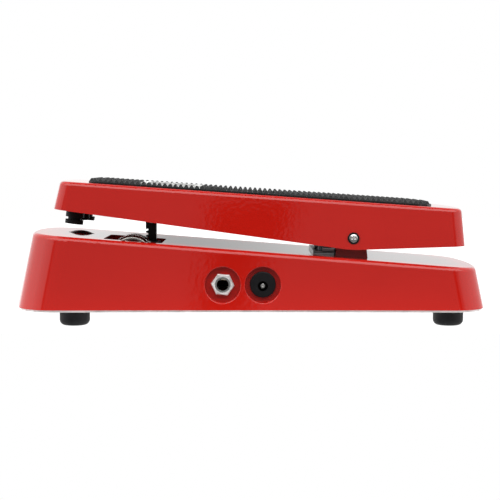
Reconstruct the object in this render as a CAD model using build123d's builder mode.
from build123d import *
from math import atan, cos, hypot, pi, radians, sin, sqrt, tan
import os

# Rocker-treadle guitar effects pedal (wah). Millimetres, +Z up.
# Origin: under the middle of the base, on the surface that the rubber feet stand on.
# The toe end is at -X, the heel end at +X, and the output side at -Y.

# ---------------------------------------------------------------- driving sizes
FOOT_H = 8.35
PLATE_T = 1.2
RIM_Z = FOOT_H + PLATE_T                 # lower rim of the base casting

BASE_END = 131.2                         # half length at the lower rim
BASE_HALF_W = 51.0                       # half width at both ends of the lower rim
BASE_WAIST = 1.6                         # how far the sides draw in at mid length
BASE_BOWS = (10.5, 7.5)                  # how far the toe and heel ends bulge between the corners
BASE_CORNERS = (22.0, 18.0)              # corner radii at the toe and at the heel
BASE_END_DRAFT = tan(radians(12.3))
BASE_SIDE_DRAFT = tan(radians(6.0))
BASE_TOP_Z = 41.05                       # height of the sloping top at X = 0
BASE_SLOPE = 0.0775
BASE_WALL = 3.2

TREAD_TOP_Z = 71.4                       # height of the treadle's top face at X = 0
TREAD_SLOPE = 0.0695
TREAD_TOE, TREAD_HEEL = -106.7, 118.9    # ends of the treadle's top face
TREAD_HALF_W = 38.0
TREAD_BOW = 4.4
TREAD_CORNERS = (7.0, 7.5)               # corner radii at the toe and at the heel
TREAD_END_DRAFT = tan(radians(10.2))
TREAD_SIDE_DRAFT = tan(radians(8.75))
TREAD_WALL = 3.0
PAD_T = 2.6                              # rubber sheet with its studs

PIVOT_X, PIVOT_Z = 56.0, 47.7            # axle, along Y
AXLE_R = 2.4
BUSHING_R = 3.2
PEDESTAL_HALF_W = 27.0

JACK_X, DC_X, JACK_Z = -14.7, 6.9, 23.0
CUP_R, CUP_FLOOR, PAD_FACE = 9.6, 43.4, 40.2
CUP_EDGE = 0.5                           # rounding of the recess's mouth
JACK_BORE_R, JACK_THREAD_R = 3.25, 4.2
SOCKET_DROP = 0.8                        # the power socket's bore sits below its middle

MODULE, PINION_TEETH = 0.75, 16
PITCH_R = MODULE * PINION_TEETH / 2
PINION_X, PINION_Z = -64.8, 37.4
RACK_PITCH_X = PINION_X + PITCH_R
RACK_BACK = RACK_PITCH_X + 5.4
RACK_PIN_X, RACK_PIN_Z = -55.8, 57.4
BACKLASH = 0.12

SWITCH_X = -96.3
CAP_R, CAP_RISE = 6.85, 1.5

FOOT_SPOTS = [(x, y) for x in (-96.0, 108.5) for y in (-34.0, 34.0)]
BOARD_SPOTS = [(x, y) for x in (29.5, 84.5) for y in (-31.0, 31.0)]
TENSION_SPOTS = [(-15.4, -18.0), (-15.4, 18.0)]      # on the sloping top, from the pivot
POT_POST_Y = -20.5
POT_POSTS = [(-86.2, POT_POST_Y), (-42.5, POT_POST_Y)]
BOARD_Z, BOARD_T = 16.4, 1.6

os.makedirs("parts", exist_ok=True)


# ---------------------------------------------------------------- helpers
def base_top(x):
    """Height of the base's sloping top face at x."""
    return BASE_TOP_Z - BASE_SLOPE * x


def slope_plane(x, height, slope):
    """Plane lying on a face that falls towards the heel; its x axis runs down the fall."""
    run = sqrt(1 + slope**2)
    return Plane(origin=(x, 0, height), x_dir=(1 / run, 0, -slope / run), z_dir=(slope / run, 0, 1 / run))


def base_plane(x, lift=0.0):
    """Plane on the base's top face at x, lifted along its normal."""
    return slope_plane(x, base_top(x), BASE_SLOPE).offset(lift)


def treadle_plane(lift=0.0):
    """Plane on the treadle's top face, above the origin."""
    return slope_plane(0, TREAD_TOP_Z, TREAD_SLOPE).offset(lift)


def side_plane(y):
    """Upright plane at y whose normal points to -Y: local (x, y) is the row's (X, Z)."""
    return Plane.XZ.offset(-y)


def outline(plane, toe, heel, half_w, bows, waist, corners):
    """Closed plan shape: bulging ends, slightly waisted sides, rounded corners (toe, heel)."""
    toe_bow, heel_bow = bows
    near_toe, near_heel = (toe + toe_bow, -half_w), (heel - heel_bow, -half_w)
    far_heel, far_toe = (heel - heel_bow, half_w), (toe + toe_bow, half_w)
    middle = (toe + heel) / 2
    with BuildSketch(plane) as shape:
        with BuildLine():
            ThreePointArc(near_toe, (middle, waist - half_w), near_heel)
            ThreePointArc(near_heel, (heel, 0), far_heel)
            ThreePointArc(far_heel, (middle, half_w - waist), far_toe)
            ThreePointArc(far_toe, (toe, 0), near_toe)
        make_face()
        fillet(shape.vertices().sort_by(Axis.X)[:2], corners[0])
        fillet(shape.vertices().sort_by(Axis.X)[-2:], corners[1])
    return shape.sketch.face()


def base_outline(z, inset=0.0):
    """The base's plan shape at height z, moved inwards by inset."""
    rise = z - RIM_Z
    end = BASE_END - BASE_END_DRAFT * rise - inset
    half_w = BASE_HALF_W - BASE_SIDE_DRAFT * rise - inset
    bows = [bow * (half_w / BASE_HALF_W) ** 2 for bow in BASE_BOWS]
    corners = [corner - inset for corner in BASE_CORNERS]
    return outline(Plane.XY.offset(z), -end, end, half_w, bows, BASE_WAIST, corners)


def treadle_outline(depth, inset=0.0):
    """The treadle's plan shape at a depth below its top face, moved inwards by inset."""
    flare = TREAD_END_DRAFT * depth - inset
    half_w = TREAD_HALF_W + TREAD_SIDE_DRAFT * depth - inset
    bow = TREAD_BOW * (half_w / TREAD_HALF_W) ** 2
    ends = (TREAD_TOE - flare, TREAD_HEEL + flare)
    corners = [corner - inset for corner in TREAD_CORNERS]
    return outline(treadle_plane(-depth), *ends, half_w, (bow, bow), 0.8, corners)


def on_mouth(edge, x, y_side):
    """Whether an edge is the round mouth of a socket recess at x on the given side."""
    spots = [edge @ t for t in (0.1, 0.5, 0.9)]
    outside = all(spot.Y * y_side > CUP_FLOOR + 1.0 for spot in spots)
    return outside and all(abs(hypot(spot.X - x, spot.Z - JACK_Z) - CUP_R) < 0.02 for spot in spots)


def save(piece, name):
    """Label a finished piece and write its STEP file under the same name."""
    piece.part.label = name
    export_step(piece.part, f"parts/{name}.step")


# ---------------------------------------------------------------- base casting
LOFT_Z = 56.0                            # above the highest point of the sloping top

with BuildPart() as base_cavity:
    loft(sections=[base_outline(RIM_Z, BASE_WALL), base_outline(LOFT_Z, BASE_WALL)], ruled=True)
    split(bisect_by=base_plane(0, -3.5), keep=Keep.BOTTOM)

with BuildPart() as base_casting:
    loft(sections=[base_outline(RIM_Z), base_outline(LOFT_Z)], ruled=True)
    split(bisect_by=base_plane(0), keep=Keep.BOTTOM)
    top_face = base_casting.faces().filter_by(lambda f: f.normal_at().Z > 0.9).sort_by(Axis.Z)[-1]
    fillet(top_face.edges(), 2.6)
    add(base_cavity.part, mode=Mode.SUBTRACT)
    # Thickened pads behind the jacks, trimmed to the side walls.
    for x_mid, length, y_side in ((-4.0, 46.0, -1), (JACK_X, 24.0, 1)):
        with BuildSketch(side_plane(y_side * PAD_FACE)):
            with Locations((x_mid, JACK_Z)):
                RectangleRounded(length, 23.0, 3.0)
        extrude(amount=-y_side * 5.2)
    # Posts for the feet, the circuit board and the potentiometer bracket.
    for spots, radius, low in ((FOOT_SPOTS, 5.0, RIM_Z), (BOARD_SPOTS, 3.6, BOARD_Z + BOARD_T),
                               (POT_POSTS, 4.0, 25.5)):
        for x, y in spots:
            with BuildSketch(Plane.XY.offset(low)):
                with Locations((x, y)):
                    Circle(radius)
            extrude(amount=base_top(x) - 2.0 - low)
    # Posts for the footswitch bracket, square to the sloping top.
    with BuildSketch(base_plane(SWITCH_X, -9.5)):
        with Locations((0, -17.0), (0, 17.0)):
            Circle(4.0)
    extrude(amount=8.0)
    # Pedestal that carries the axle, rounded over the axle and hollow underneath.
    with BuildSketch(side_plane(PEDESTAL_HALF_W)):
        with BuildLine():
            arc_top = CenterArc((PIVOT_X, PIVOT_Z), 7.6, 5, 170)
            Polyline(arc_top @ 1, (PIVOT_X - 9.0, 36.0), (PIVOT_X + 9.0, 35.0), arc_top @ 0)
        make_face()
    extrude(amount=2 * PEDESTAL_HALF_W)
    with BuildSketch(side_plane(PEDESTAL_HALF_W - 4.0)):
        with Locations((PIVOT_X, 36.0)):
            Rectangle(11.0, 12.0)
    extrude(amount=2 * PEDESTAL_HALF_W - 8.0, mode=Mode.SUBTRACT)
    with BuildSketch(side_plane(60.0)):
        with Locations((PIVOT_X, PIVOT_Z)):
            Circle(AXLE_R + 0.02)
    extrude(amount=120.0, mode=Mode.SUBTRACT)
    # Round recesses for the sockets and the holes through their floors.
    thread_hole_r = JACK_THREAD_R + 0.1
    for x, y_side, hole_r in ((JACK_X, -1, thread_hole_r), (DC_X, -1, 6.1), (JACK_X, 1, thread_hole_r)):
        with BuildSketch(side_plane(y_side * CUP_FLOOR)):
            with Locations((x, JACK_Z)):
                Circle(CUP_R)
        extrude(amount=-y_side * 12.0, mode=Mode.SUBTRACT)
        mouth = base_casting.edges().filter_by(lambda e: on_mouth(e, x, y_side))
        fillet(mouth, CUP_EDGE)
        with BuildSketch(side_plane(y_side * (PAD_FACE - 1.0))):
            with Locations((x, JACK_Z)):
                Circle(hole_r)
        extrude(amount=-y_side * 12.0, mode=Mode.SUBTRACT)
    # Slot that lets the potentiometer and its rack through the top.
    with BuildSketch(base_plane(-64.0, 6.0)):
        with Locations((0, -15.75)):
            RectangleRounded(32.0, 42.5, 3.0)
    extrude(amount=-11.0, mode=Mode.SUBTRACT)
    # Hole for the footswitch cap.
    with BuildSketch(base_plane(SWITCH_X, 4.0)):
        Circle(CAP_R + 0.45)
    extrude(amount=-9.5, mode=Mode.SUBTRACT)
    # Screw holes.
    for spots, radius, low, depth in ((FOOT_SPOTS, 1.8, RIM_Z, 15.0), (BOARD_SPOTS, 1.3, 18.0, 8.0),
                                      (POT_POSTS, 1.3, 25.5, 8.0)):
        with BuildSketch(Plane.XY.offset(low)):
            with Locations(*spots):
                Circle(radius)
        extrude(amount=depth, mode=Mode.SUBTRACT)
    with BuildSketch(base_plane(SWITCH_X, -9.5)):
        with Locations((0, -17.0), (0, 17.0)):
            Circle(1.3)
    extrude(amount=6.0, mode=Mode.SUBTRACT)
    with BuildSketch(base_plane(PIVOT_X)):
        with Locations(*TENSION_SPOTS):
            Circle(1.55)
    extrude(amount=-10.0, mode=Mode.SUBTRACT)
    with BuildSketch(Plane.XY.offset(PIVOT_Z)):
        with Locations((PIVOT_X, 0)):
            Circle(2.0)
    extrude(amount=12.0, mode=Mode.SUBTRACT)
save(base_casting, "base_casting")

# ---------------------------------------------------------------- underside
with BuildPart() as bottom_plate:
    loft(sections=[base_outline(FOOT_H + 0.001, 1.4), base_outline(RIM_Z, 1.2)], ruled=True)
    with BuildSketch(Plane.XY.offset(FOOT_H)):
        with Locations(*FOOT_SPOTS):
            Circle(2.1)
    extrude(amount=2 * PLATE_T, mode=Mode.SUBTRACT)
save(bottom_plate, "bottom_plate")

FOOT_R = 8.25
with BuildPart() as rubber_feet:
    for x, y in FOOT_SPOTS:
        with BuildSketch(Plane.XY.offset(FOOT_H)):
            with Locations((x, y)):
                Circle(FOOT_R)
        extrude(amount=-FOOT_H)
    fillet(rubber_feet.edges().group_by(Axis.Z)[0], 3.0)
    with BuildSketch():
        with Locations(*FOOT_SPOTS):
            Circle(3.4)
    extrude(amount=4.6, mode=Mode.SUBTRACT)
    with BuildSketch():
        with Locations(*FOOT_SPOTS):
            Circle(2.0)
    extrude(amount=FOOT_H, mode=Mode.SUBTRACT)
save(rubber_feet, "rubber_feet")

with BuildPart() as foot_screws:
    with BuildSketch(Plane.XY.offset(4.6)):
        with Locations(*FOOT_SPOTS):
            Circle(3.1)
    extrude(amount=-2.2)
    fillet(foot_screws.edges().group_by(Axis.Z)[0], 0.9)
    with BuildSketch(Plane.XY.offset(4.6)):
        with Locations(*FOOT_SPOTS):
            Circle(1.75)
    extrude(amount=18.0)
    with BuildSketch(Plane.XY.offset(2.4)):
        with Locations(*FOOT_SPOTS):
            Rectangle(3.6, 0.7)
            Rectangle(0.7, 3.6)
    extrude(amount=1.2, mode=Mode.SUBTRACT)
save(foot_screws, "foot_screws")

# ---------------------------------------------------------------- pivot
AXLE_HALF = 41.7
with BuildPart() as pivot_axle:
    with BuildSketch(side_plane(AXLE_HALF)):
        with Locations((PIVOT_X, PIVOT_Z)):
            Circle(AXLE_R)
    extrude(amount=2 * AXLE_HALF)
    fillet(pivot_axle.edges().filter_by(GeomType.CIRCLE), 1.1)
save(pivot_axle, "pivot_axle")

with BuildPart() as axle_set_screw:
    with BuildSketch(Plane.XY.offset(PIVOT_Z + AXLE_R + 0.02)):
        with Locations((PIVOT_X, 0)):
            Circle(1.95)
    extrude(amount=4.4)
    with BuildSketch(Plane.XY.offset(PIVOT_Z + AXLE_R + 4.42)):
        with Locations((PIVOT_X, 0)):
            RegularPolygon(1.1, 6)
    extrude(amount=-2.0, mode=Mode.SUBTRACT)
save(axle_set_screw, "axle_set_screw")

SPACER_END = 33.9
with BuildPart() as axle_spacers:
    for y_low in (PEDESTAL_HALF_W + 0.1, -SPACER_END):
        with BuildSketch(Plane.XZ.offset(-y_low)):
            with Locations((PIVOT_X, PIVOT_Z)):
                Circle(4.6)
                Circle(AXLE_R + 0.03, mode=Mode.SUBTRACT)
        extrude(amount=-(SPACER_END - PEDESTAL_HALF_W - 0.1))
save(axle_spacers, "axle_spacers")

# Folded steel bracket in front of the pedestal: a foot, an upright and two stacked leaves.
BRACKET_HALF_W = 25.5
BRACKET_X, BRACKET_L = -15.4, 11.6       # middle and length of the foot, from the pivot
with BuildPart() as tension_bracket:
    for x, length, low, thick in ((BRACKET_X, BRACKET_L, 0.0, 1.7), (-10.4, 1.6, 0.0, 5.8),
                                  (-12.9, 6.6, 2.0, 1.9), (BRACKET_X, BRACKET_L, 4.3, 1.5)):
        with BuildSketch(base_plane(PIVOT_X, low)):
            with Locations((x, 0)):
                Rectangle(length, 2 * BRACKET_HALF_W)
        extrude(amount=thick)
    for radius, low in ((1.7, 0.0), (3.5, 1.7)):
        with BuildSketch(base_plane(PIVOT_X, low)):
            with Locations(*TENSION_SPOTS):
                Circle(radius)
        extrude(amount=5.0, mode=Mode.SUBTRACT)
save(tension_bracket, "tension_bracket")

with BuildPart() as tension_screws:
    for radius, height in ((2.9, 2.2), (1.5, -8.0)):
        with BuildSketch(base_plane(PIVOT_X, 1.7)):
            with Locations(*TENSION_SPOTS):
                Circle(radius)
        extrude(amount=height)
    with BuildSketch(base_plane(PIVOT_X, 3.9)):
        with Locations(*TENSION_SPOTS):
            Rectangle(4.2, 0.8)
    extrude(amount=-1.0, mode=Mode.SUBTRACT)
save(tension_screws, "tension_screws")

# ---------------------------------------------------------------- treadle
RACK_LUG_R = 2.9
BUMPER_X, BUMPER_Y, BUMPER_Z = -97.1, 26.0, 55.0
BUMPER_R, BUMPER_H, BUMPER_TILT = 5.0, 6.8, radians(7.5)
STRIKER_Z = 55.8
STUD_R = 1.6                             # rubber stems pushed into the posts


def bumper_plane(y, lift=0.0):
    """Plane square to a toe bumper's axis, which leans with the treadle."""
    lean = (sin(BUMPER_TILT), 0, cos(BUMPER_TILT))
    return Plane(origin=(BUMPER_X, y, BUMPER_Z), x_dir=(lean[2], 0, -lean[0]), z_dir=lean).offset(lift)


def striker_plane(lift=0.0):
    """Plane square to the footswitch striker's axis."""
    return Plane(origin=(SWITCH_X, 0, STRIKER_Z + lift))


with BuildPart() as treadle_cavity:
    loft(sections=[treadle_outline(3.5, TREAD_WALL), treadle_outline(40.0, TREAD_WALL)], ruled=True)

with BuildPart() as treadle_casting:
    loft(sections=[treadle_outline(0), treadle_outline(36.0)], ruled=True)
    upper_face = treadle_casting.faces().filter_by(lambda f: f.normal_at().Z > 0.9).sort_by(Axis.Z)[-1]
    fillet(upper_face.edges(), 2.4)
    add(treadle_cavity.part, mode=Mode.SUBTRACT)
    # Everything below the skirt's edge, which is lowest under the axle.
    with BuildSketch(side_plane(60.0)):
        with BuildLine():
            skirt_front = Line((-125.0, 66.0), (48.8, 42.2))
            heel_line = Line((64.0, 41.6), (130.0, 43.7))
            ThreePointArc(skirt_front @ 1, (PIVOT_X, 41.5), heel_line @ 0)
            Polyline(heel_line @ 1, (130.0, 0.0), (-125.0, 0.0), skirt_front @ 0)
        make_face()
    extrude(amount=120.0, mode=Mode.SUBTRACT)
    # Bosses for the axle's bushings, inside the side walls.
    for y_side in (-1, 1):
        with BuildSketch(side_plane(y_side * 34.8)):
            with Locations((PIVOT_X, PIVOT_Z)):
                Circle(5.9)
        extrude(amount=-y_side * 4.6)
        with BuildSketch(side_plane(y_side * 30.0)):
            with Locations((PIVOT_X, PIVOT_Z)):
                Circle(BUSHING_R + 0.02)
        extrude(amount=-y_side * 20.0, mode=Mode.SUBTRACT)
    # Twin lugs that hold the rack's pin.
    for y_low in (-5.4, 3.2):
        with BuildSketch(side_plane(y_low)):
            with BuildLine():
                lug_arc = CenterArc((RACK_PIN_X, RACK_PIN_Z), RACK_LUG_R, 180, 180)
                Polyline(lug_arc @ 1, (RACK_PIN_X + 6.0, 74.0), (RACK_PIN_X - 6.0, 74.0), lug_arc @ 0)
            make_face()
            with Locations((RACK_PIN_X, RACK_PIN_Z)):
                Circle(1.52, mode=Mode.SUBTRACT)
        extrude(amount=-2.2)
    # Posts for the bumpers and for the footswitch striker.
    for post_plane in (bumper_plane(-BUMPER_Y, BUMPER_H), bumper_plane(BUMPER_Y, BUMPER_H), striker_plane(4.0)):
        with BuildSketch(post_plane):
            Circle(4.6)
        extrude(amount=76.0 - post_plane.origin.Z)
        with BuildSketch(post_plane):
            Circle(STUD_R)
        extrude(amount=6.0, mode=Mode.SUBTRACT)
    # Stiffening ribs under the top.
    for x, length in ((-22.0, 96.0), (90.0, 44.0)):
        with BuildSketch(treadle_plane(-3.0)):
            with Locations((x, -20.0), (x, 20.0)):
                Rectangle(length, 2.0)
        extrude(amount=-4.0)
save(treadle_casting, "treadle_casting")

PAD_TOE, PAD_HEEL, PAD_HALF_W = -90.0, 103.0, 35.0
with BuildPart() as tread_pad:
    pad_face = outline(treadle_plane(), PAD_TOE, PAD_HEEL, PAD_HALF_W, (2.0, 8.5), 0.2, (5.0, 5.0))
    extrude(to_extrude=pad_face, amount=PAD_T, dir=treadle_plane().z_dir)
save(tread_pad, "tread_pad")

with BuildPart() as pivot_bushings:
    for y_side in (-1, 1):
        with BuildSketch(side_plane(y_side * 34.1)):
            with Locations((PIVOT_X, PIVOT_Z)):
                Circle(5.0)
        extrude(amount=-y_side * 0.7)
        with BuildSketch(side_plane(y_side * 34.8)):
            with Locations((PIVOT_X, PIVOT_Z)):
                Circle(BUSHING_R)
        extrude(amount=-y_side * 6.3)
    with BuildSketch(side_plane(60.0)):
        with Locations((PIVOT_X, PIVOT_Z)):
            Circle(AXLE_R + 0.05)
    extrude(amount=120.0, mode=Mode.SUBTRACT)
save(pivot_bushings, "pivot_bushings")

with BuildPart() as toe_bumpers:
    for y in (-BUMPER_Y, BUMPER_Y):
        for radius, low, height in ((BUMPER_R, 0.0, 2.2), (BUMPER_R - 1.4, 2.2, 1.5),
                                    (BUMPER_R, 3.7, BUMPER_H - 3.7), (STUD_R - 0.05, BUMPER_H, 5.2)):
            with BuildSketch(bumper_plane(y, low)):
                Circle(radius)
            extrude(amount=height)
save(toe_bumpers, "toe_bumpers")

with BuildPart() as switch_striker:
    for radius, low, height in ((4.6, 0.0, 4.0), (STUD_R - 0.05, 4.0, 5.0)):
        with BuildSketch(striker_plane(low)):
            Circle(radius)
        extrude(amount=height)
    chamfer(switch_striker.edges().group_by(Axis.Z)[0], 1.0)
save(switch_striker, "switch_striker")

with BuildPart() as rack_pin:
    with BuildSketch(side_plane(7.4)):
        with Locations((RACK_PIN_X, RACK_PIN_Z)):
            Circle(1.5)
    extrude(amount=14.8)
    chamfer(rack_pin.edges().filter_by(GeomType.CIRCLE), 0.3)
save(rack_pin, "rack_pin")

with BuildPart() as rack_pin_clips:
    for y_low in (-6.2, 5.5):
        with BuildSketch(side_plane(y_low)):
            with Locations((RACK_PIN_X, RACK_PIN_Z)):
                Circle(3.0)
                Circle(1.52, mode=Mode.SUBTRACT)
            with Locations((RACK_PIN_X, RACK_PIN_Z + 2.4)):
                Rectangle(1.6, 2.6, mode=Mode.SUBTRACT)
        extrude(amount=-0.7)
save(rack_pin_clips, "rack_pin_clips")

# ---------------------------------------------------------------- rack and pinion
PITCH = pi * MODULE
ADDENDUM, DEDENDUM = 0.8 * MODULE, 1.1 * MODULE
PRESSURE = radians(20)
HALF_TOOTH = PITCH / 4 - BACKLASH / 2
RACK_LOW, RACK_TEETH_TOP = 14.4, 50.9
RACK_HALF_W = 3.0

with BuildPart() as rack:
    with BuildSketch(side_plane(-RACK_HALF_W)):
        root_x, tip_x = RACK_PITCH_X + DEDENDUM, RACK_PITCH_X - ADDENDUM
        for left, low in ((root_x, RACK_LOW), (tip_x, RACK_TEETH_TOP)):
            with Locations(((left + RACK_BACK) / 2, (low + RACK_PIN_Z) / 2)):
                Rectangle(RACK_BACK - left, RACK_PIN_Z - low)
        with Locations((RACK_PIN_X, RACK_PIN_Z)):
            Circle(2.9)
        first = int((RACK_LOW - PINION_Z) / PITCH)
        last = int((RACK_TEETH_TOP - PINION_Z) / PITCH)
        for tooth in range(first, last + 1):
            tooth_z = PINION_Z + tooth * PITCH
            tip = HALF_TOOTH - ADDENDUM * tan(PRESSURE)
            base = HALF_TOOTH + DEDENDUM * tan(PRESSURE)
            with BuildLine():
                Polyline((root_x + 0.2, tooth_z - base), (root_x, tooth_z - base), (tip_x, tooth_z - tip),
                         (tip_x, tooth_z + tip), (root_x, tooth_z + base), (root_x + 0.2, tooth_z + base),
                         close=True)
            make_face()
        with Locations((RACK_PIN_X, RACK_PIN_Z)):
            Circle(1.55, mode=Mode.SUBTRACT)
    extrude(amount=-2 * RACK_HALF_W)
save(rack, "rack")

BASE_R = PITCH_R * cos(PRESSURE)
TIP_R, ROOT_R = PITCH_R + ADDENDUM, PITCH_R - DEDENDUM


def involute_points(count=6):
    """Radius and half-angle of a pinion tooth's flank, from its root to its tip."""
    def unwind(radius):
        roll = sqrt(max(radius**2 / BASE_R**2 - 1, 0.0))
        return roll - atan(roll)
    points = [(ROOT_R - 0.2, HALF_TOOTH / PITCH_R + unwind(PITCH_R))]
    for step in range(count):
        radius = BASE_R + (TIP_R - BASE_R) * step / (count - 1)
        points.append((radius, HALF_TOOTH / PITCH_R + unwind(PITCH_R) - unwind(radius)))
    return points


FLANK = involute_points()
HUB_Y, GEAR_HALF = 8.3, 3.5
with BuildPart() as pinion_gear:
    with BuildSketch(Plane.XZ.offset(-GEAR_HALF)):
        with Locations((PINION_X, PINION_Z)):
            Circle(ROOT_R)
        with BuildSketch(Plane.XY, mode=Mode.PRIVATE) as tooth_shape:
            with BuildLine():
                upper = [(r * cos(a), r * sin(a)) for r, a in FLANK]
                Polyline(*upper, *[(x, -y) for x, y in reversed(upper)], close=True)
            make_face()
        with Locations((PINION_X, PINION_Z)):
            with PolarLocations(0, PINION_TEETH, start_angle=180 / PINION_TEETH):
                add(tooth_shape.sketch)
    extrude(amount=2 * GEAR_HALF)
    with BuildSketch(Plane.XZ.offset(GEAR_HALF)):
        with Locations((PINION_X, PINION_Z)):
            Circle(4.8)
    extrude(amount=HUB_Y - GEAR_HALF)
    with BuildSketch(Plane.XZ.offset(-10.0)):
        with Locations((PINION_X, PINION_Z)):
            Circle(3.02)
    extrude(amount=20.0, mode=Mode.SUBTRACT)
save(pinion_gear, "pinion_gear")

WIPER_R, WIPER_Y = 8.5, 20.0
with BuildPart() as pot_shaft:
    with BuildSketch(Plane.XZ.offset(-5.0)):
        with Locations((PINION_X, PINION_Z)):
            Circle(3.0)
    extrude(amount=WIPER_Y + 5.0)
    with BuildSketch(Plane.XZ.offset(WIPER_Y)):
        with Locations((PINION_X, PINION_Z)):
            Circle(WIPER_R)
    extrude(amount=2.0)
    with BuildSketch(Plane.XZ.offset(-5.0)):
        with Locations((PINION_X, PINION_Z)):
            Rectangle(0.9, 8.0)
    extrude(amount=2.5, mode=Mode.SUBTRACT)
save(pot_shaft, "pot_shaft")

# ---------------------------------------------------------------- potentiometer, bracket and guide
POT_PLATE_T = 1.5
BRACKET_Y = -13.5                        # outer face of the potentiometer bracket
CAN_R, CAN_END = 11.6, 30.0


def pot_sketch(y):
    """Plane across the potentiometer's axis at y, with its normal towards -Y."""
    return Plane(origin=(PINION_X, y, PINION_Z), x_dir=(1, 0, 0), z_dir=(0, -1, 0))


with BuildPart() as potentiometer_can:
    with BuildSketch(pot_sketch(-15.0)):
        Circle(CAN_R)
    extrude(amount=CAN_END - 15.0)
    fillet(potentiometer_can.edges().group_by(Axis.Y)[0], 1.2)
    with BuildSketch(pot_sketch(-15.0)):
        Circle(CAN_R - 0.8)
    extrude(amount=CAN_END - 15.8, mode=Mode.SUBTRACT)
save(potentiometer_can, "potentiometer_can")

with BuildPart() as potentiometer_bushing:
    with BuildSketch(pot_sketch(BRACKET_Y)):
        Circle(CAN_R - 0.3)
    extrude(amount=POT_PLATE_T)
    with BuildSketch(pot_sketch(-8.8)):
        Circle(4.7)
    extrude(amount=5.0)
    with BuildSketch(pot_sketch(0)):
        Circle(3.05)
    extrude(amount=20.0, mode=Mode.SUBTRACT)
save(potentiometer_bushing, "potentiometer_bushing")

with BuildPart() as potentiometer_nut:
    with BuildSketch(pot_sketch(-9.4)):
        RegularPolygon(6.4, 6)
        Circle(4.72, mode=Mode.SUBTRACT)
    extrude(amount=2.0)
    with BuildSketch(pot_sketch(-11.4)):
        Circle(7.0)
        Circle(4.72, mode=Mode.SUBTRACT)
    extrude(amount=0.6)
save(potentiometer_nut, "potentiometer_nut")

with BuildPart() as potentiometer_terminals:
    for x in (-5.0, 0.0, 5.0):
        with BuildSketch(Plane.XY.offset(PINION_Z - 19.0)):
            with Locations((PINION_X + x, -14.4)):
                Rectangle(1.8, 0.6)
        extrude(amount=7.6)
save(potentiometer_terminals, "potentiometer_terminals")

with BuildPart() as pot_bracket:
    with BuildSketch(side_plane(BRACKET_Y)):
        with BuildLine():
            Polyline((-90.5, 24.0), (-38.2, 24.0), (-38.2, 39.4), (-49.4, 39.4), (-50.4, 44.6),
                     (-78.4, 44.6), (-79.4, 39.4), (-90.5, 39.4), close=True)
        make_face()
        with Locations((PINION_X, PINION_Z)):
            Circle(4.9, mode=Mode.SUBTRACT)
        with Locations((PINION_X, 24.0)):
            SlotOverall(20.0, 5.0, mode=Mode.SUBTRACT)
    extrude(amount=-1.5)
    for x, y in POT_POSTS:
        with BuildSketch(Plane.XY.offset(24.0)):
            with Locations((x, (y - 4.5 + BRACKET_Y) / 2)):
                Rectangle(8.6, BRACKET_Y - y + 4.5)
            with Locations((x, y)):
                Circle(1.7, mode=Mode.SUBTRACT)
        extrude(amount=1.5)
save(pot_bracket, "pot_bracket")

with BuildPart() as pot_bracket_screws:
    for x, y in POT_POSTS:
        with BuildSketch(Plane.XY.offset(24.0)):
            with Locations((x, y)):
                Circle(2.7)
        extrude(amount=-2.0)
        with BuildSketch(Plane.XY.offset(24.0)):
            with Locations((x, y)):
                Circle(1.25)
        extrude(amount=8.5)
        with BuildSketch(Plane.XY.offset(22.0)):
            with Locations((x, y)):
                Rectangle(3.0, 0.6)
                Rectangle(0.6, 3.0)
        extrude(amount=1.0, mode=Mode.SUBTRACT)
save(pot_bracket_screws, "pot_bracket_screws")

GUIDE_X = RACK_BACK + 0.6
GUIDE_LOW = PINION_Z - 3.7
with BuildPart() as rack_guide:
    with BuildSketch(Plane.XY.offset(GUIDE_LOW)):
        with Locations(((GUIDE_X - 50.4) / 2, 0)):
            Rectangle(-50.4 - GUIDE_X, 9.0)
    extrude(amount=7.5)
    fillet(rack_guide.edges().filter_by(Axis.Y).sort_by(Axis.X)[:2], 0.8)
save(rack_guide, "rack_guide")

with BuildPart() as guide_arm:
    with BuildSketch(Plane.XY.offset(GUIDE_LOW)):
        with Locations((-49.8, (-12.0 + 5.0) / 2)):
            Rectangle(1.2, 17.0)
        with Locations((-45.6, -11.4)):
            Rectangle(9.6, 1.2)
    extrude(amount=5.6)
save(guide_arm, "guide_arm")

with BuildPart() as guide_rivets:
    with BuildSketch(side_plane(-10.8)):
        with Locations((-44.0, GUIDE_LOW + 2.8)):
            Circle(1.8)
    extrude(amount=-1.0)
save(guide_rivets, "guide_rivet")

# ---------------------------------------------------------------- footswitch
# Heights are measured along the normal of the sloping top, from the top face.
PLATE_LIFT, BODY_DEPTH = -11.0, 20.0
with BuildPart() as switch_bracket:
    with BuildSketch(base_plane(SWITCH_X, PLATE_LIFT)):
        Rectangle(15.0, 23.0)
        Rectangle(9.0, 43.0)
        Circle(6.1, mode=Mode.SUBTRACT)
        with Locations((0, -17.0), (0, 17.0)):
            Circle(1.7, mode=Mode.SUBTRACT)
    extrude(amount=1.5)
save(switch_bracket, "switch_bracket")

with BuildPart() as switch_bracket_screws:
    for y in (-17.0, 17.0):
        with BuildSketch(base_plane(SWITCH_X, PLATE_LIFT)):
            with Locations((0, y)):
                Circle(2.7)
        extrude(amount=-2.0)
        with BuildSketch(base_plane(SWITCH_X, PLATE_LIFT)):
            with Locations((0, y)):
                Circle(1.25)
        extrude(amount=6.5)
        with BuildSketch(base_plane(SWITCH_X, PLATE_LIFT - 2.0)):
            with Locations((0, y)):
                Rectangle(3.0, 0.6)
                Rectangle(0.6, 3.0)
        extrude(amount=1.0, mode=Mode.SUBTRACT)
save(switch_bracket_screws, "switch_bracket_screws")

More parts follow.
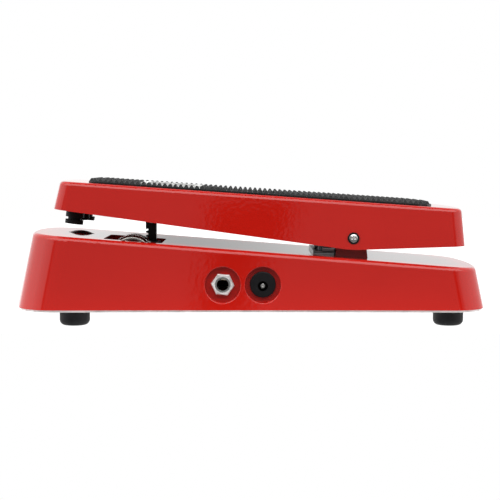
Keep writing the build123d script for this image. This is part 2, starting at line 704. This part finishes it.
SWITCH_FLOOR = PLATE_LIFT - BODY_DEPTH
with BuildPart() as footswitch_body:
    with BuildSketch(base_plane(SWITCH_X, PLATE_LIFT)):
        RectangleRounded(16.4, 17.6, 1.0)
    extrude(amount=-BODY_DEPTH)
    with BuildSketch(base_plane(SWITCH_X, PLATE_LIFT)):
        Circle(5.95)
    extrude(amount=5.2)
    with BuildSketch(base_plane(SWITCH_X, PLATE_LIFT + 6.0)):
        Circle(3.1)
    extrude(amount=-8.0, mode=Mode.SUBTRACT)
    with BuildSketch(base_plane(SWITCH_X, PLATE_LIFT - 1.0)):
        Circle(5.0)
    extrude(amount=-17.0, mode=Mode.SUBTRACT)
save(footswitch_body, "footswitch_body")

with BuildPart() as footswitch_nut:
    with BuildSketch(base_plane(SWITCH_X, PLATE_LIFT + 1.5)):
        RegularPolygon(7.4, 6, major_radius=False)
        Circle(5.97, mode=Mode.SUBTRACT)
    extrude(amount=2.4)
save(footswitch_nut, "footswitch_nut")

with BuildPart() as footswitch_plunger:
    with BuildSketch(base_plane(SWITCH_X, CAP_RISE)):
        Circle(CAP_R)
    extrude(amount=-4.0)
    dome_r = (CAP_R**2 + CAP_RISE**2) / (2 * CAP_RISE)
    with Locations(base_plane(SWITCH_X, CAP_RISE - dome_r)):
        Sphere(dome_r, mode=Mode.INTERSECT)
    with BuildSketch(base_plane(SWITCH_X, CAP_RISE - 4.0)):
        Circle(3.0)
    extrude(amount=-12.0)
    with BuildSketch(base_plane(SWITCH_X, CAP_RISE - 16.0)):
        Circle(4.5)
    extrude(amount=-1.5)
save(footswitch_plunger, "footswitch_plunger")

SPRING_TOP = CAP_RISE - 17.5
SPRING_LOW = PLATE_LIFT - 18.0
with BuildPart() as footswitch_spring:
    with BuildLine(base_plane(SWITCH_X, SPRING_LOW + 0.4)) as coil:
        Helix(pitch=2.0, height=SPRING_TOP - SPRING_LOW - 1.2, radius=3.4)
    with BuildSketch(Plane(origin=coil.line @ 0, z_dir=coil.line % 0)):
        Circle(0.35)
    sweep(path=coil.line)
save(footswitch_spring, "footswitch_spring")

with BuildPart() as footswitch_lugs:
    with BuildSketch(base_plane(SWITCH_X, SWITCH_FLOOR)):
        with GridLocations(5.0, 5.2, 3, 3):
            Rectangle(0.8, 2.2)
    extrude(amount=-4.0)
save(footswitch_lugs, "footswitch_lugs")

# ---------------------------------------------------------------- quarter-inch jacks
def jack_plane(y):
    """Plane across the near jack's axis at y, with its normal towards -Y."""
    return Plane(origin=(JACK_X, y, JACK_Z), x_dir=(1, 0, 0), z_dir=(0, -1, 0))


with BuildPart() as output_jack:
    with BuildSketch(jack_plane(-38.6)):
        RectangleRounded(16.0, 15.0, 1.0)
    extrude(amount=1.6)
    with BuildSketch(jack_plane(-38.6)):
        Circle(JACK_THREAD_R)
    extrude(amount=7.6)
    with BuildSketch(jack_plane(-18.0)):
        with Locations((0, -6.8)):
            Rectangle(12.0, 1.4)
    extrude(amount=20.6)
    with BuildSketch(jack_plane(0)):
        Circle(JACK_BORE_R)
    extrude(amount=60.0, mode=Mode.SUBTRACT)
save(output_jack, "output_jack")

with BuildPart() as input_jack:
    mirror(output_jack.part, about=Plane.XZ)
save(input_jack, "input_jack")

with BuildPart() as jack_washers:
    with BuildSketch(jack_plane(-CUP_FLOOR)):
        Circle(5.3)
        Circle(JACK_THREAD_R + 0.05, mode=Mode.SUBTRACT)
    extrude(amount=0.5)
    mirror(about=Plane.XZ)
save(jack_washers, "jack_washers")

with BuildPart() as jack_nuts:
    with BuildSketch(jack_plane(-CUP_FLOOR - 0.5)):
        RegularPolygon(5.5, 6, major_radius=False, rotation=-5)
    extrude(amount=2.4)
    chamfer(jack_nuts.faces().sort_by(Axis.Y)[0].edges(), 0.4)
    with BuildSketch(jack_plane(-30.0)):
        Circle(JACK_THREAD_R + 0.02)
    extrude(amount=20.0, mode=Mode.SUBTRACT)
    mirror(about=Plane.XZ)
save(jack_nuts, "jack_nuts")

with BuildPart() as jack_insulators:
    with BuildSketch(Plane.XY.offset(JACK_Z - 6.1)):
        with Locations((JACK_X, -21.0)):
            Rectangle(11.0, 5.6)
    extrude(amount=2.4)
    mirror(about=Plane.XZ)
save(jack_insulators, "jack_insulators")

with BuildPart() as jack_contacts:
    with BuildSketch(Plane.YZ.offset(JACK_X - 2.5)):
        with BuildLine():
            FilletPolyline((-18.4, JACK_Z - 3.45), (-27.0, JACK_Z - 3.45), (-29.5, JACK_Z - 2.3),
                           (-31.5, JACK_Z - 4.0), radius=0.6)
        trace(line_width=0.45)
    extrude(amount=5.0)
    mirror(about=Plane.XZ)
save(jack_contacts, "jack_contacts")

# ---------------------------------------------------------------- power socket
def socket_plane(y):
    """Plane across the power socket's axis at y, with its normal towards -Y."""
    return Plane(origin=(DC_X, y, JACK_Z), x_dir=(1, 0, 0), z_dir=(0, -1, 0))


with BuildPart() as dc_jack:
    with BuildSketch(socket_plane(-CUP_FLOOR)):
        Circle(7.0)
    extrude(amount=2.2)
    fillet(dc_jack.edges().group_by(Axis.Y)[0], 0.5)
    with BuildSketch(socket_plane(-28.0)):
        Circle(6.0)
    extrude(amount=CUP_FLOOR - 28.0)
    with BuildSketch(socket_plane(-34.5)):
        with Locations((0, -SOCKET_DROP)):
            Circle(2.75)
    extrude(amount=20.0, mode=Mode.SUBTRACT)
save(dc_jack, "dc_jack")

with BuildPart() as dc_jack_pin:
    with BuildSketch(socket_plane(-34.5)):
        with Locations((0, -SOCKET_DROP)):
            Circle(1.05)
    extrude(amount=9.6)
    fillet(dc_jack_pin.edges().group_by(Axis.Y)[0], 0.4)
save(dc_jack_pin, "dc_jack_pin")

with BuildPart() as dc_jack_nut:
    with BuildSketch(socket_plane(-PAD_FACE + 2.5)):
        RegularPolygon(8.2, 6, major_radius=False)
        Circle(6.05, mode=Mode.SUBTRACT)
    extrude(amount=2.5)
save(dc_jack_nut, "dc_jack_nut")

with BuildPart() as dc_jack_lugs:
    with BuildSketch(socket_plane(-23.0)):
        with Locations((-3.0, 2.0), (3.0, 2.0), (0, -3.2)):
            Rectangle(2.2, 0.5)
    extrude(amount=5.0)
save(dc_jack_lugs, "dc_jack_lugs")

# ---------------------------------------------------------------- circuit board and its components
BOARD_X, BOARD_L, BOARD_W = 57.0, 63.0, 70.0
BOARD_TOP = BOARD_Z + BOARD_T

with BuildPart() as circuit_board:
    with BuildSketch(Plane.XY.offset(BOARD_Z)):
        with Locations((BOARD_X, 0)):
            RectangleRounded(BOARD_L, BOARD_W, 2.0)
        with Locations(*BOARD_SPOTS):
            Circle(1.7, mode=Mode.SUBTRACT)
    extrude(amount=BOARD_T)
save(circuit_board, "circuit_board")

with BuildPart() as board_screws:
    with BuildSketch(Plane.XY.offset(BOARD_Z)):
        with Locations(*BOARD_SPOTS):
            Circle(2.7)
    extrude(amount=-2.0)
    with BuildSketch(Plane.XY.offset(BOARD_Z)):
        with Locations(*BOARD_SPOTS):
            Circle(1.25)
    extrude(amount=8.0)
    with BuildSketch(Plane.XY.offset(BOARD_Z - 2.0)):
        with Locations(*BOARD_SPOTS):
            Rectangle(3.0, 0.6)
            Rectangle(0.6, 3.0)
    extrude(amount=1.0, mode=Mode.SUBTRACT)
save(board_screws, "board_screws")

with BuildPart() as inductor:
    with BuildSketch(Plane.XY.offset(BOARD_TOP)):
        with Locations((40.0, -16.0)):
            Circle(7.5)
    extrude(amount=9.0)
    fillet(inductor.edges().group_by(Axis.Z)[-1], 1.2)
save(inductor, "inductor")

CAPACITOR_CANS = [(39.0, 4.0, 3.2, 9.0), (49.0, 4.0, 3.2, 9.0), (72.0, -22.0, 2.6, 7.0)]
with BuildPart() as electrolytic_capacitors:
    for x, y, radius, height in CAPACITOR_CANS:
        with BuildSketch(Plane.XY.offset(BOARD_TOP)):
            with Locations((x, y)):
                Circle(radius)
        extrude(amount=height)
    fillet(electrolytic_capacitors.edges().filter_by(GeomType.CIRCLE)
           .filter_by(lambda e: e.center().Z > BOARD_TOP + 1), 0.6)
save(electrolytic_capacitors, "electrolytic_capacitors")

with BuildPart() as film_capacitors:
    with BuildSketch(Plane.XY.offset(BOARD_TOP)):
        with Locations((60.0, -14.0)):
            with GridLocations(9.0, 12.0, 2, 2):
                RectangleRounded(3.4, 8.0, 0.8)
    extrude(amount=7.0)
save(film_capacitors, "film_capacitors")

RESISTOR_ROWS = [(x, y) for y in (14.0, 20.0, 26.0) for x in (42.0, 57.0, 72.0)]
with BuildPart() as resistors:
    for x, y in RESISTOR_ROWS:
        with BuildSketch(Plane(origin=(x, y, BOARD_TOP + 1.5), x_dir=(1, 0, 0), z_dir=(0, 1, 0))):
            with BuildLine():
                Polyline((-3.2, 0), (-3.2, 1.2), (-1.9, 1.2), (-1.6, 0.95), (1.6, 0.95), (1.9, 1.2),
                         (3.2, 1.2), (3.2, 0), close=True)
            make_face()
        revolve(axis=Axis((x, y, BOARD_TOP + 1.5), (1, 0, 0)))
        for side in (-1, 1):
            with BuildSketch(Plane.YZ.offset(x + side * 3.1)):
                with Locations((y, BOARD_TOP + 1.5)):
                    Circle(0.3)
            extrude(amount=side * 1.9)
            with BuildSketch(Plane.XY.offset(BOARD_TOP)):
                with Locations((x + side * 4.7, y)):
                    Circle(0.3)
            extrude(amount=1.8)
save(resistors, "resistors")

with BuildPart() as transistors:
    for x, y in ((51.0, -8.0), (72.0, -8.0)):
        with BuildSketch(Plane.XY.offset(BOARD_TOP + 2.0)):
            with Locations((x, y)):
                Circle(2.3)
                with Locations((0, -3.6)):
                    Rectangle(6.0, 4.0, mode=Mode.SUBTRACT)
        extrude(amount=4.6)
        with BuildSketch(Plane.XY.offset(BOARD_TOP)):
            with Locations((x - 1.2, y + 0.4), (x, y + 0.4), (x + 1.2, y + 0.4)):
                Circle(0.25)
        extrude(amount=2.2)
save(transistors, "transistors")

# ---------------------------------------------------------------- battery
BATTERY_X, BATTERY_Y = (91.0, 117.5), (-28.5, 20.0)
BATTERY_T = 17.5
with BuildPart() as battery:
    with BuildSketch(Plane.XY.offset(RIM_Z)):
        with Locations(((BATTERY_X[0] + BATTERY_X[1]) / 2, (BATTERY_Y[0] + BATTERY_Y[1]) / 2)):
            RectangleRounded(BATTERY_X[1] - BATTERY_X[0], BATTERY_Y[1] - BATTERY_Y[0], 1.6)
    extrude(amount=BATTERY_T)
save(battery, "battery")

TERMINAL_Z = RIM_Z + BATTERY_T / 2
with BuildPart() as battery_terminals:
    for x in (98.0, 110.7):
        with BuildSketch(Plane(origin=(x, BATTERY_Y[1], TERMINAL_Z), x_dir=(1, 0, 0), z_dir=(0, 1, 0))):
            Circle(3.6)
        extrude(amount=2.4)
save(battery_terminals, "battery_terminals")

with BuildPart() as battery_snap:
    with BuildSketch(Plane(origin=(104.35, BATTERY_Y[1] + 2.4, TERMINAL_Z), x_dir=(1, 0, 0), z_dir=(0, 1, 0))):
        SlotOverall(24.6, 11.5)
    extrude(amount=3.2)
    fillet(battery_snap.edges().group_by(Axis.Y)[-1], 0.8)
save(battery_snap, "battery_snap")

with BuildPart() as battery_foam:
    with BuildSketch(Plane.XY.offset(RIM_Z + BATTERY_T)):
        with Locations((103.5, -4.0)):
            Rectangle(18.0, 40.0)
    extrude(amount=1.5)
save(battery_foam, "battery_foam")

# ---------------------------------------------------------------- wiring
WIRE_R = 0.6
UNDER_Z = 12.4                           # height of the wires that run under the board
FLOOR_WIRE_Z = 10.6                      # height of the footswitch's wire, just off the plate
WIRES = {
    "battery_leads": [
        [(91.8, 23.6, TERMINAL_Z + 1.3), (88.5, 23.6, 20.6), (78.0, 23.6, 21.4), (78.0, 23.6, BOARD_TOP)],
        [(91.8, 23.6, TERMINAL_Z - 1.3), (89.8, 23.6, UNDER_Z), (78.0, 23.6, UNDER_Z), (78.0, 23.6, BOARD_Z)],
    ],
    "jack_wires": [
        [(JACK_X, -17.8, 16.2), (JACK_X, -13.0, 16.2), (JACK_X + 6.0, -12.0, UNDER_Z),
         (28.0, -20.0, UNDER_Z), (28.0, -20.0, BOARD_Z)],
        [(JACK_X, 17.8, 16.2), (JACK_X, 13.0, 16.2), (JACK_X + 6.0, 12.0, UNDER_Z),
         (28.0, 20.0, UNDER_Z), (28.0, 20.0, BOARD_Z)],
        [(DC_X, -22.8, 19.8), (DC_X, -18.5, 19.8), (22.0, -18.5, 21.6), (28.5, -22.0, 21.6),
         (28.5, -22.0, BOARD_TOP)],
    ],
    "control_wires": [
        [(PINION_X, -14.4, PINION_Z - 19.1), (PINION_X, -14.4, UNDER_Z), (-20.0, -4.0, UNDER_Z), (24.0, -4.0, UNDER_Z),
         (30.0, -8.0, UNDER_Z), (30.0, -8.0, BOARD_Z)],
        [(-94.0, 5.2, 13.0), (-94.0, 5.2, FLOOR_WIRE_Z), (-84.0, 9.0, FLOOR_WIRE_Z), (0.0, 6.0, FLOOR_WIRE_Z),
         (30.0, 6.0, FLOOR_WIRE_Z), (30.0, 6.0, BOARD_Z)],
    ],
}
for wire_name, routes in WIRES.items():
    with BuildPart() as wire:
        for route in routes:
            with BuildLine() as path:
                FilletPolyline(*route, radius=1.2)
            with BuildSketch(Plane(origin=path.line @ 0, z_dir=path.line % 0)):
                Circle(WIRE_R)
            sweep(path=path.line)
    save(wire, wire_name)
